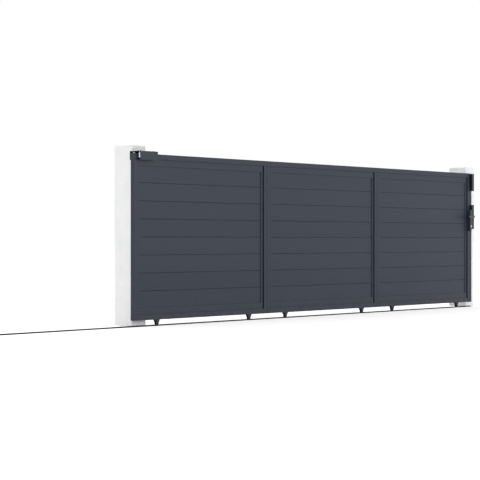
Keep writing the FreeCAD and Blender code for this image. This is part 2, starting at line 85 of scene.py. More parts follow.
class Paint:
    # one material and the nodes that make it
    def __init__(self, name):
        self.material = bpy.data.materials.new(name)
        self.material.use_nodes = True
        self.tree = self.material.node_tree
        self.shader = self.tree.nodes["Principled BSDF"]

    def add(self, kind, settings=None, sockets=None):
        node = self.tree.nodes.new(kind)
        for name, value in (settings or {}).items():
            setattr(node, name, value)
        self.feed(node, sockets or {})
        return lambda output=0: Wire(self, node.outputs[output])

    def feed(self, node, sockets):
        for name, value in sockets.items():
            if isinstance(value, Wire):
                self.tree.links.new(value.socket, node.inputs[name])
            else:
                node.inputs[name].default_value = value

    def place(self, scale=(1, 1, 1)):
        spot = self.add("ShaderNodeTexCoord")("Object")
        if scale == (1, 1, 1):
            return spot
        return self.add("ShaderNodeMapping", sockets={"Vector": spot, "Scale": scale})()

    def part(self, axis):
        return self.add("ShaderNodeSeparateXYZ", sockets={"Vector": self.place()})(axis)

    def height(self):
        return self.part("Z")

    def near(self, value, target, reach):
        # 1 where value is within reach of target, falling off to 0 at twice that
        gap = self.add("ShaderNodeMath", {"operation": "ABSOLUTE"}, {0: value - target})()
        return self.fit(gap, reach, 2 * reach, 1, 0)

    def noise(self, scale, detail=3.0, stretch=(1, 1, 1), roughness=0.55):
        return self.add("ShaderNodeTexNoise", sockets={
            "Vector": self.place(stretch), "Scale": scale, "Detail": detail, "Roughness": roughness})("Fac")

    def fit(self, value, low, high, toLow=0.0, toHigh=1.0):
        return self.add("ShaderNodeMapRange", {"clamp": True}, {
            "Value": value, "From Min": low, "From Max": high, "To Min": toLow, "To Max": toHigh})()

    def mix(self, factor, first, second):
        return self.add("ShaderNodeMix", {"data_type": "RGBA"}, {0: factor, 6: first, 7: second})(2)

    def seen(self):
        # 1 for what the camera sees straight, in a gloss or through glass
        path = self.add("ShaderNodeLightPath")
        return path("Is Camera Ray") + path("Is Glossy Ray") + path("Is Transmission Ray")

    def bump(self, height, distance, strength=1.0):
        return self.add("ShaderNodeBump", sockets={
            "Height": height, "Distance": distance, "Strength": strength})()

    def finish(self, **sockets):
        self.feed(self.shader, {name.replace("_", " "): value for name, value in sockets.items()})
        return self.material


def shade(colour, factor):
    return (*(min(1.0, part * factor) for part in colour), 1.0)


# powder coat on the extrusions: satin peel, faint mottling, road dust low down
coatLook = {"colour": (0.0212, 0.0275, 0.0442), "tones": (0.94, 1.07), "toneReach": (0.3, 0.7), "ior": 1.32,
            "driftScale": 1.7, "driftStretch": (0.5, 1, 1), "driftShare": 0.7, "mottleScale": 190,
            "rough": 0.42, "roughSpread": 0.10, "peelScale": 620, "peelDepth": 0.00005, "peelStrength": 0.6,
            "dust": (0.10, 0.095, 0.085, 1), "dustReach": (0.05, 0.24), "dustScale": 26,
            "dustPatches": (0.42, 0.75), "dustStrength": 0.20, "dustRough": 0.4}
# each board has a tone of its own and fine lines from the die
boardLook = {"first": 0.1234, "pitch": 0.1304, "ownShare": 0.3, "peelShare": 0.8, "lineScale": 90,
             "lineStretch": (0.02, 1, 1), "lineShare": 0.5}
# painted shade on the frame: dark lines where two modules meet and along the stiles' inner edges, a darker
# ramp on the right-hand bead and a painted highlight on its outer wall, at places along one module from its
# left edge
seamShadeLook = {"leafLeft": -0.108, "moduleWidth": 1.4, "stileInner": (0.036, 1.364),
             "colour": (0.005, 0.008, 0.017, 1), "strength": 0.9, "reach": 0.0020, "jointReach": 0.0022,
             "jointsFrom": (0.4, 0.5), "beadWidth": 0.022, "beadReach": (0.085, 1.205), "beadFade": 0.002,
             "beadShade": (0.2, 0.9), "beadShadeFade": 0.001, "highlightReach": 0.0008, "highlightTone": 3.4}
# the guide's flange stands in deep shade behind the leaf
flangeLook = {"colour": (0.003, 0.003, 0.004, 1), "across": (-0.112, -0.108), "along": (0.4, 0.5)}


def paintSeamShade(paint, base):
    look = seamShadeLook
    width = look["moduleWidth"]
    along = paint.add("ShaderNodeMath", {"operation": "MODULO"}, {
        0: paint.part("X") - look["leafLeft"], 1: width})()
    # painted shade along the line where two modules meet, but not the leaf's own left end
    meeting = paint.near(along, 0, look["jointReach"]) + paint.near(along, width, look["jointReach"])
    meeting = paint.fit(meeting, 0, 1) * paint.fit(paint.part("X"), *look["jointsFrom"])
    base = paint.mix(meeting * look["strength"], base, look["colour"])
    # painted shade along the stiles' inner edges, in the recess corners
    for inner in look["stileInner"]:
        edge = paint.near(along, inner, look["reach"])
        base = paint.mix(edge * look["strength"], base, look["colour"])
    return shadeBead(paint, base, along)


def shadeBead(paint, base, along):
    # painted shade on the right-hand bead, darker towards the stile, and a painted highlight on the bead's
    # outer wall
    look = seamShadeLook
    end = look["stileInner"][1]
    start = end - look["beadWidth"]
    low, high = look["beadReach"]
    level = paint.height()
    fade, sideFade = look["beadFade"], look["beadShadeFade"]
    onBead = paint.fit(level, low, low + fade) * paint.fit(level, high - fade, high, 1, 0)
    beadShade = paint.fit(along, start, end, *look["beadShade"]) * paint.fit(along, end, end + sideFade, 1, 0)
    beadShade = beadShade * paint.fit(along, start, start + sideFade) * onBead
    base = paint.mix(beadShade, base, look["colour"])
    # painted highlight along the bead's outer wall, in a paler coat tone
    paintedHighlight = paint.near(along, start, look["highlightReach"]) * onBead * look["strength"]
    return paint.mix(paintedHighlight, base, shade(coatLook["colour"], look["highlightTone"]))


def shadeFlange(paint, base):
    behind = paint.fit(paint.part("Y"), *flangeLook["across"])
    leftEnd = paint.fit(paint.part("X"), *flangeLook["along"], 1, 0)
    return paint.mix(behind * leftEnd, base, flangeLook["colour"])


def ownTone(paint):
    # a number from 0 to 1 for each course of boards
    course = (paint.height() - boardLook["first"]) / boardLook["pitch"]
    number = paint.add("ShaderNodeMath", {"operation": "FLOOR"}, {0: course})()
    return paint.add("ShaderNodeTexWhiteNoise", {"noise_dimensions": "1D"}, {"W": number})("Value")


def coatPaint(name, use):
    paint = Paint(name)
    look = coatLook
    mottle = paint.noise(look["mottleScale"], detail=2)
    drift = paint.noise(look["driftScale"], detail=4, stretch=look["driftStretch"])
    spread = drift * look["driftShare"] + mottle * (1 - look["driftShare"])
    grain = paint.noise(look["peelScale"], detail=2)
    if use == "board":
        spread = spread * (1 - boardLook["ownShare"]) + ownTone(paint) * boardLook["ownShare"]
        lines = paint.noise(boardLook["lineScale"], detail=2, stretch=boardLook["lineStretch"])
        grain = grain * boardLook["peelShare"] + lines * boardLook["lineShare"]
    darker, paler = (shade(look["colour"], tone) for tone in look["tones"])
    base = paint.mix(paint.fit(spread, *look["toneReach"]), darker, paler)
    patches = paint.fit(paint.noise(look["dustScale"], detail=5), *look["dustPatches"])
    dust = paint.fit(paint.height(), *look["dustReach"], 1, 0) * patches * look["dustStrength"]
    base = paint.mix(dust, base, look["dust"])
    if use == "frame":
        # painted shade at the joints, stile edges and right-hand bead, and a painted highlight on the bead's
        # outer wall
        base = paintSeamShade(paint, base)
    if use == "bracket":
        base = shadeFlange(paint, base)
    rough = look["rough"] + (mottle - 0.5) * look["roughSpread"] + dust * look["dustRough"]
    return paint.finish(Base_Color=base, Roughness=rough, IOR=look["ior"],
                        Normal=paint.bump(grain, look["peelDepth"], look["peelStrength"]))


# scratch-coat render on the pillars: sandy grain, pores and a weathered foot
renderLook = {"pale": (0.87, 0.87, 0.87, 1), "deep": (0.76, 0.765, 0.77, 1), "toneReach": (0.36, 0.62),
              "grainScale": 330, "grainRough": 0.7, "grainShare": 0.6, "cloudScale": 7, "sandScale": 420,
              "poreScale": 150, "poreReach": (0.30, 0.42), "foot": (0.70, 0.69, 0.67, 1),
              "footReach": (0.05, 0.12), "footWander": 0.10, "footStrength": 0.2, "rough": 0.85,
              "roughSpread": 0.15, "sandRelief": 0.5, "poreRelief": 0.5, "depth": 0.0012, "strength": 0.7}


def renderPaint():
    paint = Paint("pillarRender")
    look = renderLook
    grain = paint.noise(look["grainScale"], detail=4, roughness=look["grainRough"])
    sand = paint.add("ShaderNodeTexVoronoi", {"feature": "F1"}, {
        "Vector": paint.place(), "Scale": look["sandScale"]})("Distance")
    cloud = paint.noise(look["cloudScale"], detail=5)
    pores = paint.fit(paint.noise(look["poreScale"], detail=3), *look["poreReach"])
    tone = paint.fit(grain * look["grainShare"] + cloud * (1 - look["grainShare"]), *look["toneReach"])
    base = paint.mix(tone, look["deep"], look["pale"])
    foot = paint.fit(paint.height() + cloud * look["footWander"], *look["footReach"], look["footStrength"], 0)
    base = paint.mix(foot, base, look["foot"])
    relief = grain * look["grainShare"] + sand * look["sandRelief"] + pores * look["poreRelief"]
    return paint.finish(Base_Color=base, Roughness=look["rough"] + (grain - 0.5) * look["roughSpread"],
                        Normal=paint.bump(relief, look["depth"], look["strength"]))


# rail steel: dark paint on the strip, bare and polished where the wheels run
railLook = {"paint": (0.020, 0.021, 0.024, 1), "bare": (0.10, 0.098, 0.095, 1), "wearReach": (0.0078, 0.0086),
            "wearWander": 0.002, "streakScale": 60, "streakStretch": (0.05, 1, 1),
            "rust": (0.09, 0.045, 0.024, 1), "rustScale": 55, "rustPatches": (0.62, 0.72),
            "rustStrength": 0.5, "metal": 0.5, "rough": 0.78, "polish": 0.36, "rustRough": 0.15,
            "pitScale": 300, "pitShare": 0.5, "depth": 0.0002, "strength": 0.5, "ior": 1.16}


def railPaint():
    paint = Paint("railSteel")
    look = railLook
    streaks = paint.noise(look["streakScale"], detail=4, stretch=look["streakStretch"])
    worn = paint.fit(paint.height() + (streaks - 0.5) * look["wearWander"], *look["wearReach"])
    rust = paint.fit(paint.noise(look["rustScale"], detail=5), *look["rustPatches"]) * look["rustStrength"]
    base = paint.mix(rust, look["paint"], look["rust"])
    base = paint.mix(worn, base, look["bare"])
    relief = streaks + paint.noise(look["pitScale"], detail=2) * look["pitShare"]
    return paint.finish(Base_Color=base, Metallic=worn * look["metal"], IOR=look["ior"],
                        Roughness=look["rough"] - worn * look["polish"] + rust * look["rustRough"],
                        Normal=paint.bump(relief, look["depth"], look["strength"]))


# plain metal and plastic finishes share one recipe
plainLook = {"cloudScale": 24, "cloudShare": 0.6, "toneReach": (0.32, 0.68), "roughSpread": 0.12,
             "strength": 0.6, "ior": 1.36}


def plainPaint(name, colour, rough, grainScale, grainDepth, spread=0.12):
    paint = Paint(name)
    look = plainLook
    grain = paint.noise(grainScale, detail=3)
    cloud = paint.noise(look["cloudScale"], detail=4)
    tone = paint.fit(cloud * look["cloudShare"] + grain * (1 - look["cloudShare"]), *look["toneReach"])
    base = paint.mix(tone, shade(colour, 1 - spread), shade(colour, 1 + spread))
    return paint.finish(Base_Color=base, Roughness=rough + (cloud - 0.5) * look["roughSpread"],
                        Normal=paint.bump(grain, grainDepth, look["strength"]), IOR=look["ior"])


# brushed satin metal, with the brushing along one axis
brushedLook = {"brushScale": 900, "cloudScale": 40, "toneReach": (0.3, 0.7), "tones": (0.88, 1.1),
               "brushRough": 0.2, "cloudRough": 0.1, "depth": 0.00003, "strength": 0.5}


def brushedPaint(name, colour, rough, stretch):
    paint = Paint(name)
    look = brushedLook
    brush = paint.noise(look["brushScale"], detail=3, stretch=stretch)
    cloud = paint.noise(look["cloudScale"], detail=3)
    darker, paler = (shade(colour, tone) for tone in look["tones"])
    base = paint.mix(paint.fit(brush, *look["toneReach"]), darker, paler)
    rough = rough + (brush - 0.5) * look["brushRough"] + (cloud - 0.5) * look["cloudRough"]
    return paint.finish(Base_Color=base, Metallic=1.0, Roughness=rough,
                        Normal=paint.bump(brush, look["depth"], look["strength"]))


finishes = {
    "masonry_render": renderPaint(),
    "track_steel": railPaint(),
    "frame_coat": coatPaint("frameCoat", "frame"),
    "board_coat": coatPaint("boardCoat", "board"),
    "bracket_coat": coatPaint("bracketCoat", "bracket"),
    "buffer_rubber": plainPaint("bufferRubber", (0.016, 0.016, 0.016), 0.8, 240, 0.0003),
    "roller_nylon": plainPaint("rollerNylon", (0.86, 0.86, 0.85), 0.42, 120, 0.0001, spread=0.03),
    "carrier_steel": plainPaint("carrierSteel", (0.018, 0.018, 0.020), 0.5, 500, 0.0001),
    "wheel_polymer": plainPaint("wheelPolymer", (0.030, 0.030, 0.033), 0.48, 300, 0.0001),
    "cap_plastic": plainPaint("capPlastic", (0.0215, 0.028, 0.044), 0.55, 420, 0.0001),
    "lock_plate_coat": plainPaint("lockPlateCoat", (0.026, 0.027, 0.031), 0.4, 650, 0.00005),
    "cylinder_nickel": brushedPaint("cylinderNickel", (0.55, 0.54, 0.51), 0.32, (1, 0.03, 1)),
    "lever_satin": brushedPaint("leverSatin", (0.07, 0.072, 0.077), 0.38, (0.03, 1, 1)),
}
for entry in frame["record"]["subparts"]:
    node = frame["nodes"][entry["node"]]
    node.data.materials.clear()
    node.data.materials.append(finishes[entry["material_slot"]])


# modelling by hand: small steps that every piece below goes through

touch = 0.00001  # a corner this near to a plane lies on it
aligned = 0.99  # an edge or normal with this much of its length along an axis follows it
smoothAngles = {"soft": 60, "usual": 38, "crisp": 30, "hard": 25}


def begin(kind, name, at=(0, 0, 0), **sizes):
    # a fresh primitive at its size and place, in edit mode with nothing selected
    bpy.ops.object.select_all(action="DESELECT")
    getattr(bpy.ops.mesh, f"primitive_{kind}_add")(location=at, **sizes)
    piece = bpy.context.object
    piece.name = piece.data.name = name
    bpy.ops.object.transform_apply(location=True, rotation=True, scale=True)
    bpy.ops.object.mode_set(mode="EDIT")
    bpy.ops.mesh.select_all(action="DESELECT")
    return piece


def pick(piece, test, kind="FACE"):
    # selects the faces, edges or corners that pass a test on their place or normal
    bpy.ops.mesh.select_mode(type=kind)
    bpy.ops.mesh.select_all(action="DESELECT")
    mesh = bmesh.from_edit_mesh(piece.data)
    for part in {"FACE": mesh.faces, "EDGE": mesh.edges, "VERT": mesh.verts}[kind]:
        if test(part):
            part.select_set(True)
    mesh.select_flush_mode()
    bmesh.update_edit_mesh(piece.data)


def allAbove(part, axis, level):
    return min(corner.co[axis] for corner in part.verts) > level - touch


def allBelow(part, axis, level):
    return max(corner.co[axis] for corner in part.verts) < level + touch


def runsAlong(edge, axis):
    return abs((edge.verts[0].co - edge.verts[1].co).normalized()[axis]) > aligned


def looksTo(face, way):
    return face.normal.dot(way) > aligned


def push(x=0.0, y=0.0, z=0.0):
    bpy.ops.mesh.extrude_region_move(TRANSFORM_OT_translate={"value": (x, y, z)})


def squeeze(centre, x=1.0, y=1.0, z=1.0):
    bpy.ops.transform.resize(value=(x, y, z), center_override=tuple(centre))


def cutAcross(point, normal):
    bpy.ops.mesh.select_all(action="SELECT")
    bpy.ops.mesh.bisect(plane_co=point, plane_no=normal)


def closeUp(piece, smoothing="usual"):
    # merges doubles, turns the faces outwards and smooths the soft edges
    bpy.ops.mesh.select_mode(type="VERT")
    bpy.ops.mesh.select_all(action="SELECT")
    bpy.ops.mesh.remove_doubles(threshold=0.000001)
    bpy.ops.mesh.normals_make_consistent(inside=False)
    bpy.ops.object.mode_set(mode="OBJECT")
    bpy.ops.object.shade_smooth_by_angle(angle=math.radians(smoothAngles[smoothing]))
    return piece


def applyAll(piece):
    for name in [modifier.name for modifier in piece.modifiers]:
        bpy.ops.object.modifier_apply(modifier=name)


def joinUp(pieces, name):
    bpy.ops.object.select_all(action="DESELECT")
    for piece in pieces:
        piece.select_set(True)
    bpy.context.view_layer.objects.active = pieces[0]
    if len(pieces) > 1:
        bpy.ops.object.join()
    pieces[0].name = pieces[0].data.name = name
    return pieces[0]


turns = {"up": (0, 0, 0), "front": (math.pi / 2, 0, 0), "back": (-math.pi / 2, 0, 0),
         "right": (0, math.pi / 2, 0)}


def repeat(pattern, name, places):
    # copies of a pattern that stands at the origin, each at its spot and facing its way, as one piece
    made = []
    for spot, way in places:
        bpy.ops.object.select_all(action="DESELECT")
        pattern.select_set(True)
        bpy.context.view_layer.objects.active = pattern
        bpy.ops.object.duplicate(linked=False)
        twin = bpy.context.object
        twin.rotation_euler = turns[way]
        twin.location = spot
        bpy.ops.object.transform_apply(location=True, rotation=True, scale=True)
        made.append(twin)
    return joinUp(made, name)


def discard(pattern):
    bpy.ops.object.select_all(action="DESELECT")
    pattern.select_set(True)
    bpy.ops.object.delete()


def mount(piece, body, slot, *nodes):
    # finish, body and the nodes that a piece stands for
    piece.data.materials.clear()
    piece.data.materials.append(finishes[slot])
    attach(piece, body)
    if nodes:
        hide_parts(*nodes)


# pillars: trowelled render over the masonry, uneven and soft at the arrises
pillarLook = {"shrink": 0.0003, "arris": 0.0045, "cell": 0.006, "grain": 0.016, "grainDepth": 0.0016,
              "wave": 0.16, "waveDepth": 0.0022, "footBand": 0.0045}


def makePillar(node):
    low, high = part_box(node)
    trim = Vector((pillarLook["shrink"],) * 3)
    pillar = begin("cube", node + "_rendered", (low + high) / 2, size=1, scale=high - low - 2 * trim)
    pick(pillar, lambda edge: not allBelow(edge, 2, low.z + pillarLook["footBand"]), "EDGE")
    bpy.ops.mesh.bevel(offset=pillarLook["arris"], segments=3)
    bpy.ops.object.mode_set(mode="OBJECT")
    even = pillar.modifiers.new("even", "REMESH")
    even.mode = "VOXEL"
    even.voxel_size = pillarLook["cell"]
    for kind in ("wave", "grain"):
        texture = bpy.data.textures.new(f"{node}_{kind}", "CLOUDS")
        texture.noise_scale = pillarLook[kind]
        texture.noise_depth = 2
        trowel = pillar.modifiers.new(kind, "DISPLACE")
        trowel.texture = texture
        trowel.texture_coords = "LOCAL"
        trowel.mid_level = 0
        trowel.strength = -pillarLook[kind + "Depth"]
    applyAll(pillar)
    bpy.ops.object.mode_set(mode="EDIT")
    pick(pillar, lambda corner: corner.co.z < low.z + pillarLook["footBand"], "VERT")
    squeeze((0, 0, low.z), z=0)
    closeUp(pillar, "soft")
    mount(pillar, "site", "masonry_render", node)


makePillar("left_pillar")
makePillar("right_pillar")
print("pillars rendered")


# lock case: slim and proud of the leaf, with a satin plate on its front and a profile cylinder in it
caseLook = {"width": 0.0230, "depth": 0.0240, "corner": 0.0050, "ease": 0.0016, "lowered": 0.0280,
            "plateThickness": 0.0012, "plateMargin": 0.0024, "plateBelow": 0.0150, "plateAbove": 0.0340,
            "plateEase": 0.0004}


def caseFront():
    # where the lever's rose, the screws and the cylinder sit
    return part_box("lock_front_plate")[1].y - caseLook["depth"] - caseLook["plateThickness"]


def caseBlock(name, front, back, width, bottom, top, corner, ease):
    low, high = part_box("lock_front_plate")
    middle = Vector(((low.x + high.x) / 2, (front + back) / 2, (bottom + top) / 2))
    block = begin("cube", name, middle, size=1, scale=(width, back - front, top - bottom))
    pick(block, lambda edge: runsAlong(edge, 1), "EDGE")
    bpy.ops.mesh.bevel(offset=corner, segments=5)
    pick(block, lambda edge: allBelow(edge, 1, front), "EDGE")
    bpy.ops.mesh.bevel(offset=ease, segments=3)
    return closeUp(block, "crisp")


def makeLockCase():
    low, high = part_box("lock_front_plate")
    behind = high.y - caseLook["depth"]
    case = caseBlock("lock_case", behind, high.y, caseLook["width"], low.z, high.z - caseLook["lowered"],
                     caseLook["corner"], caseLook["ease"])
    mount(case, "leaf", "lock_plate_coat", "lock_front_plate")
    plate = caseBlock("lock_case_plate", caseFront(), behind, caseLook["width"] - 2 * caseLook["plateMargin"],
                      low.z + caseLook["plateBelow"], high.z - caseLook["plateAbove"],
                      caseLook["corner"] - caseLook["plateMargin"], caseLook["plateEase"])
    mount(plate, "leaf", "lever_satin")


# key cylinder: a barrel with a key slot and a blade below it
# bladeRise, bladeStart and bladeRound are shares of the barrel's rise and radius and the blade's width
cylinderLook = {"radius": 0.0080, "rise": 0.0026, "ease": 0.0006, "keySink": 0.0016, "keyInset": 0.0048,
                "keyNarrow": 0.30, "bladeWidth": 0.0092, "bladeDrop": 0.0180, "bladeRise": 0.8,
                "bladeStart": 0.6, "bladeRound": 0.45}


def makeCylinder():
    low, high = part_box("front_lock_cylinder")
    look = cylinderLook
    back, barrelZ = caseFront(), high.z - look["radius"]
    front = back - look["rise"]
    along = (low.x + high.x) / 2
    barrel = begin("cylinder", "key_cylinder", (along, back - look["rise"] / 2, barrelZ), vertices=32,
                   radius=look["radius"], depth=look["rise"], rotation=turns["front"])
    pick(barrel, lambda edge: allBelow(edge, 1, front), "EDGE")
    bpy.ops.mesh.bevel(offset=look["ease"], segments=2)
    pick(barrel, lambda face: allBelow(face, 1, front))
    bpy.ops.mesh.inset(thickness=look["keyInset"])
    squeeze((along, back, barrelZ), x=look["keyNarrow"])
    push(y=look["keySink"])
    bpy.ops.mesh.select_all(action="DESELECT")
    bladeRise = look["rise"] * look["bladeRise"]
    bladeTop, bladeBottom = barrelZ - look["radius"] * look["bladeStart"], barrelZ - look["bladeDrop"]
    bladeAt = (along, back - bladeRise / 2, (bladeTop + bladeBottom) / 2)
    bpy.ops.mesh.primitive_cube_add(size=1, location=bladeAt,
                                    scale=(look["bladeWidth"], bladeRise, bladeTop - bladeBottom))
    pick(barrel, lambda edge: runsAlong(edge, 1) and allBelow(edge, 2, bladeBottom), "EDGE")
    bpy.ops.mesh.bevel(offset=look["bladeWidth"] * look["bladeRound"], segments=6)
    closeUp(barrel, "crisp")
    mount(barrel, "leaf", "cylinder_nickel", "front_lock_cylinder")


makeLockCase()
makeCylinder()
print("lock case made")


# fasteners: each kind is modelled once, standing up at the origin
boltLook = {"washer": 0.0085, "washerRise": 0.0015, "washerEase": 0.0004, "head": 0.0064, "headRise": 0.0042,
            "chamfer": 0.0009, "chamferSlope": 0.6}
plateScrewLook = {"radius": 0.0036, "rise": 0.0012, "dome": 0.0008, "socket": 0.0018, "socketDepth": 0.0009}
hoodScrewLook = {"radius": 0.0080, "rise": 0.0028, "dome": 0.0022, "socket": 0.0030, "socketDepth": 0.0016}
railScrewLook = {"radius": 0.0048, "rise": 0.0010, "dome": 0.0007, "socket": 0.0022, "socketDepth": 0.0007}
# a socket's lobes: how far its rim is looked for, how deep the valleys go and how the floor narrows
socketLook = {"lobes": 6, "rimReach": 1.1, "valleyFrom": -0.5, "pinch": 0.74, "floor": 0.8}


def makeBolt(look):
    # hexagon head on a plain washer
    washerTop = look["washerRise"]
    headTop = washerTop + look["headRise"]
    bolt = begin("cylinder", "boltPattern", (0, 0, washerTop / 2), vertices=24, radius=look["washer"],
                 depth=washerTop)
    pick(bolt, lambda edge: allAbove(edge, 2, washerTop), "EDGE")
    bpy.ops.mesh.bevel(offset=look["washerEase"], segments=2)
    bpy.ops.mesh.select_all(action="DESELECT")
    bpy.ops.mesh.primitive_cylinder_add(vertices=6, radius=look["head"], depth=look["headRise"],
                                        location=(0, 0, washerTop + look["headRise"] / 2))
    pick(bolt, lambda face: allAbove(face, 2, headTop))
    bpy.ops.mesh.inset(thickness=look["chamfer"], depth=look["chamfer"] * look["chamferSlope"])
    return closeUp(bolt, "hard")


def makeScrew(look):
    # domed head with a lobed socket
    top = look["rise"]
    screw = begin("cylinder", "screwPattern", (0, 0, top / 2), vertices=24, radius=look["radius"], depth=top)
    pick(screw, lambda edge: allAbove(edge, 2, top), "EDGE")
    bpy.ops.mesh.bevel(offset=look["dome"], segments=3)
    pick(screw, lambda face: allAbove(face, 2, top))
    bpy.ops.mesh.inset(thickness=look["radius"] - look["dome"] - look["socket"])
    reach = look["socket"] * socketLook["rimReach"]

    def onRim(corner):
        return corner.co.z > top - touch and corner.co.xy.length < reach

    def inValley(corner):
        return math.cos(socketLook["lobes"] * math.atan2(corner.co.y, corner.co.x)) < socketLook["valleyFrom"]

    pick(screw, lambda corner: onRim(corner) and inValley(corner), "VERT")
    squeeze((0, 0, top), socketLook["pinch"], socketLook["pinch"])
    pick(screw, lambda face: all(onRim(corner) for corner in face.verts))
    push(z=-look["socketDepth"])
    squeeze((0, 0, top), socketLook["floor"], socketLook["floor"])
    return closeUp(screw, "crisp")


guideRollers = [name for name in frame["nodes"] if name.endswith("guide_roller")]
trackWheels = [name for name in frame["nodes"] if name.startswith("track_wheel")]
# where the fasteners sit: on what they hold, from the CAD boxes
fastenerPlaces = {"flangeThickness": 0.004, "guideAlong": (-0.022, 0.029), "guideBelowHood": 0.036,
                  "catchFromRight": 0.021, "catchFromEnds": 0.028, "stopAlong": (0.018, 0.073),
                  "stopAcross": 0.019, "stopFoot": 0.006, "caseFromEnds": (0.024, 0.043),
                  "plateFromEnds": 0.011, "stripRise": 0.003, "railAcross": 0.0172, "railEnd": 0.07,
                  "railCount": 5}


def setBracketBolts(bolt):
    spots = fastenerPlaces
    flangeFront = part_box("left_pillar")[0].y - spots["flangeThickness"]
    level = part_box("guide_bracket")[1].z - spots["guideBelowHood"]
    places = [((x, flangeFront, level), "front") for x in spots["guideAlong"]]
    for node in ("upper_receiver", "lock_keeper"):
        low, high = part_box(node)
        along = high.x - spots["catchFromRight"]
        places += [((along, flangeFront, z), "front")
                   for z in (low.z + spots["catchFromEnds"], high.z - spots["catchFromEnds"])]
    mount(repeat(bolt, "bracket_bolts", places), "site", "bracket_coat")


def setStopAnchors(bolt):
    spots = fastenerPlaces
    low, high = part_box("rail_end_stop")
    middle = (low.y + high.y) / 2
    places = [((low.x + x, middle + side * spots["stopAcross"], low.z + spots["stopFoot"]), "up")
              for x in spots["stopAlong"] for side in (-1, 1)]
    mount(repeat(bolt, "stop_anchor_bolts", places), "site", "cylinder_nickel")


def setLockScrews():
    spots = fastenerPlaces
    screw = makeScrew(plateScrewLook)
    low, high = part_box("lock_front_plate")
    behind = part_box("lock_back_plate")[1].y
    along = (low.x + high.x) / 2
    below, above = spots["caseFromEnds"]
    places = [((along, caseFront(), z), "front") for z in (low.z + below, high.z - above)]
    places += [((along, behind, z), "back")
               for z in (low.z + spots["plateFromEnds"], high.z - spots["plateFromEnds"])]
    mount(repeat(screw, "lock_plate_screws", places), "leaf", "lock_plate_coat")
    discard(screw)


def setStudHeads():
    screw = makeScrew(hoodScrewLook)
    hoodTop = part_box("guide_bracket")[1].z
    middles = [sum(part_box(name), Vector()) / 2 for name in guideRollers]
    places = [((spot.x, spot.y, hoodTop), "up") for spot in middles]
    mount(repeat(screw, "guide_stud_heads", places), "site", "bracket_coat")
    discard(screw)


def setRailScrews():
    spots = fastenerPlaces
    screw = makeScrew(railScrewLook)
    places = []
    for node in ("ground_rail_left", "ground_rail_middle", "ground_rail_right"):
        low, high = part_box(node)
        middle = (low.y + high.y) / 2
        start, end = low.x + spots["railEnd"], high.x - spots["railEnd"]
        for number in range(spots["railCount"]):
            along = start + (end - start) * number / (spots["railCount"] - 1)
            places += [((along, middle + side * spots["railAcross"], low.z + spots["stripRise"]), "up")
                       for side in (-1, 1)]
    mount(repeat(screw, "rail_anchor_screws", places), "site", "track_steel")
    discard(screw)


hexagonBolt = makeBolt(boltLook)
setBracketBolts(hexagonBolt)
setStopAnchors(hexagonBolt)
discard(hexagonBolt)
setLockScrews()
setStudHeads()
setRailScrews()
print("fasteners set")


def dishEnds(piece, axle, look):
    # a sunk ring and a raised middle at both ends of a turned piece
    for outward in (-axle, axle):
        pick(piece, lambda face: looksTo(face, outward))
        bpy.ops.mesh.inset(thickness=look["land"])
        push(*(outward * -look["dish"]))
        bpy.ops.mesh.inset(thickness=look["ring"])
        push(*(outward * look["middleRise"]))


# guide rollers: nylon with eased rims and a pressed-in bearing at each end
rollerLook = {"rim": 0.0016, "land": 0.0024, "dish": 0.0008, "ring": 0.0014, "middleRise": 0.0005}


def makeRoller(node):
    low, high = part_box(node)
    size = high - low
    roller = begin("cylinder", node + "_turned", (low + high) / 2, vertices=40, radius=size.x / 2,
                   depth=size.z)
    pick(roller, lambda edge: not runsAlong(edge, 2), "EDGE")
    bpy.ops.mesh.bevel(offset=rollerLook["rim"], segments=3)
    dishEnds(roller, Vector((0, 0, 1)), rollerLook)
    closeUp(roller)
    mount(roller, node, "roller_nylon", node)


# track wheels: a round groove for the crown between two eased flanges, dished sides and a hub
wheelLook = {"rings": 9, "grooveHalf": 0.0065, "grooveDepth": 0.0040, "flangeEase": 0.0007, "land": 0.0022,
             "dish": 0.0016, "ring": 0.0030, "middleRise": 0.0014}


def makeWheel(node):
    low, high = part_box(node)
    middle, size = (low + high) / 2, high - low
    radius, half = size.x / 2, wheelLook["grooveHalf"]
    wheel = begin("cylinder", node + "_turned", middle, vertices=48, radius=radius, depth=size.y,
                  rotation=turns["front"])
    pick(wheel, lambda edge: not runsAlong(edge, 1), "EDGE")
    bpy.ops.mesh.bevel(offset=wheelLook["flangeEase"], segments=2)
    steps = wheelLook["rings"] - 1
    rings = [half * math.sin(math.pi * (number / steps - 0.5)) for number in range(steps + 1)]
    for across in rings:
        cutAcross((middle.x, middle.y + across, middle.z), (0, 1, 0))
    for across in rings[1:-1]:
        depth = wheelLook["grooveDepth"] * math.sqrt(1 - (across / half) ** 2)
        pick(wheel, lambda corner: abs(corner.co.y - middle.y - across) < touch, "VERT")
        squeeze(middle, x=1 - depth / radius, z=1 - depth / radius)
    dishEnds(wheel, Vector((0, 1, 0)), wheelLook)
    closeUp(wheel)
    mount(wheel, node, "wheel_polymer", node)


for name in guideRollers:
    makeRoller(name)
for name in trackWheels:
    makeWheel(name)
print("rollers and wheels turned")


# stop buffer: a moulded rubber block with a foot ring, a waist and a sunk bolt hole
bufferLook = {"foot": 0.005, "footStep": 0.0008, "waist": 0.90, "nose": 0.0055, "rim": 0.0065, "sink": 0.0022}


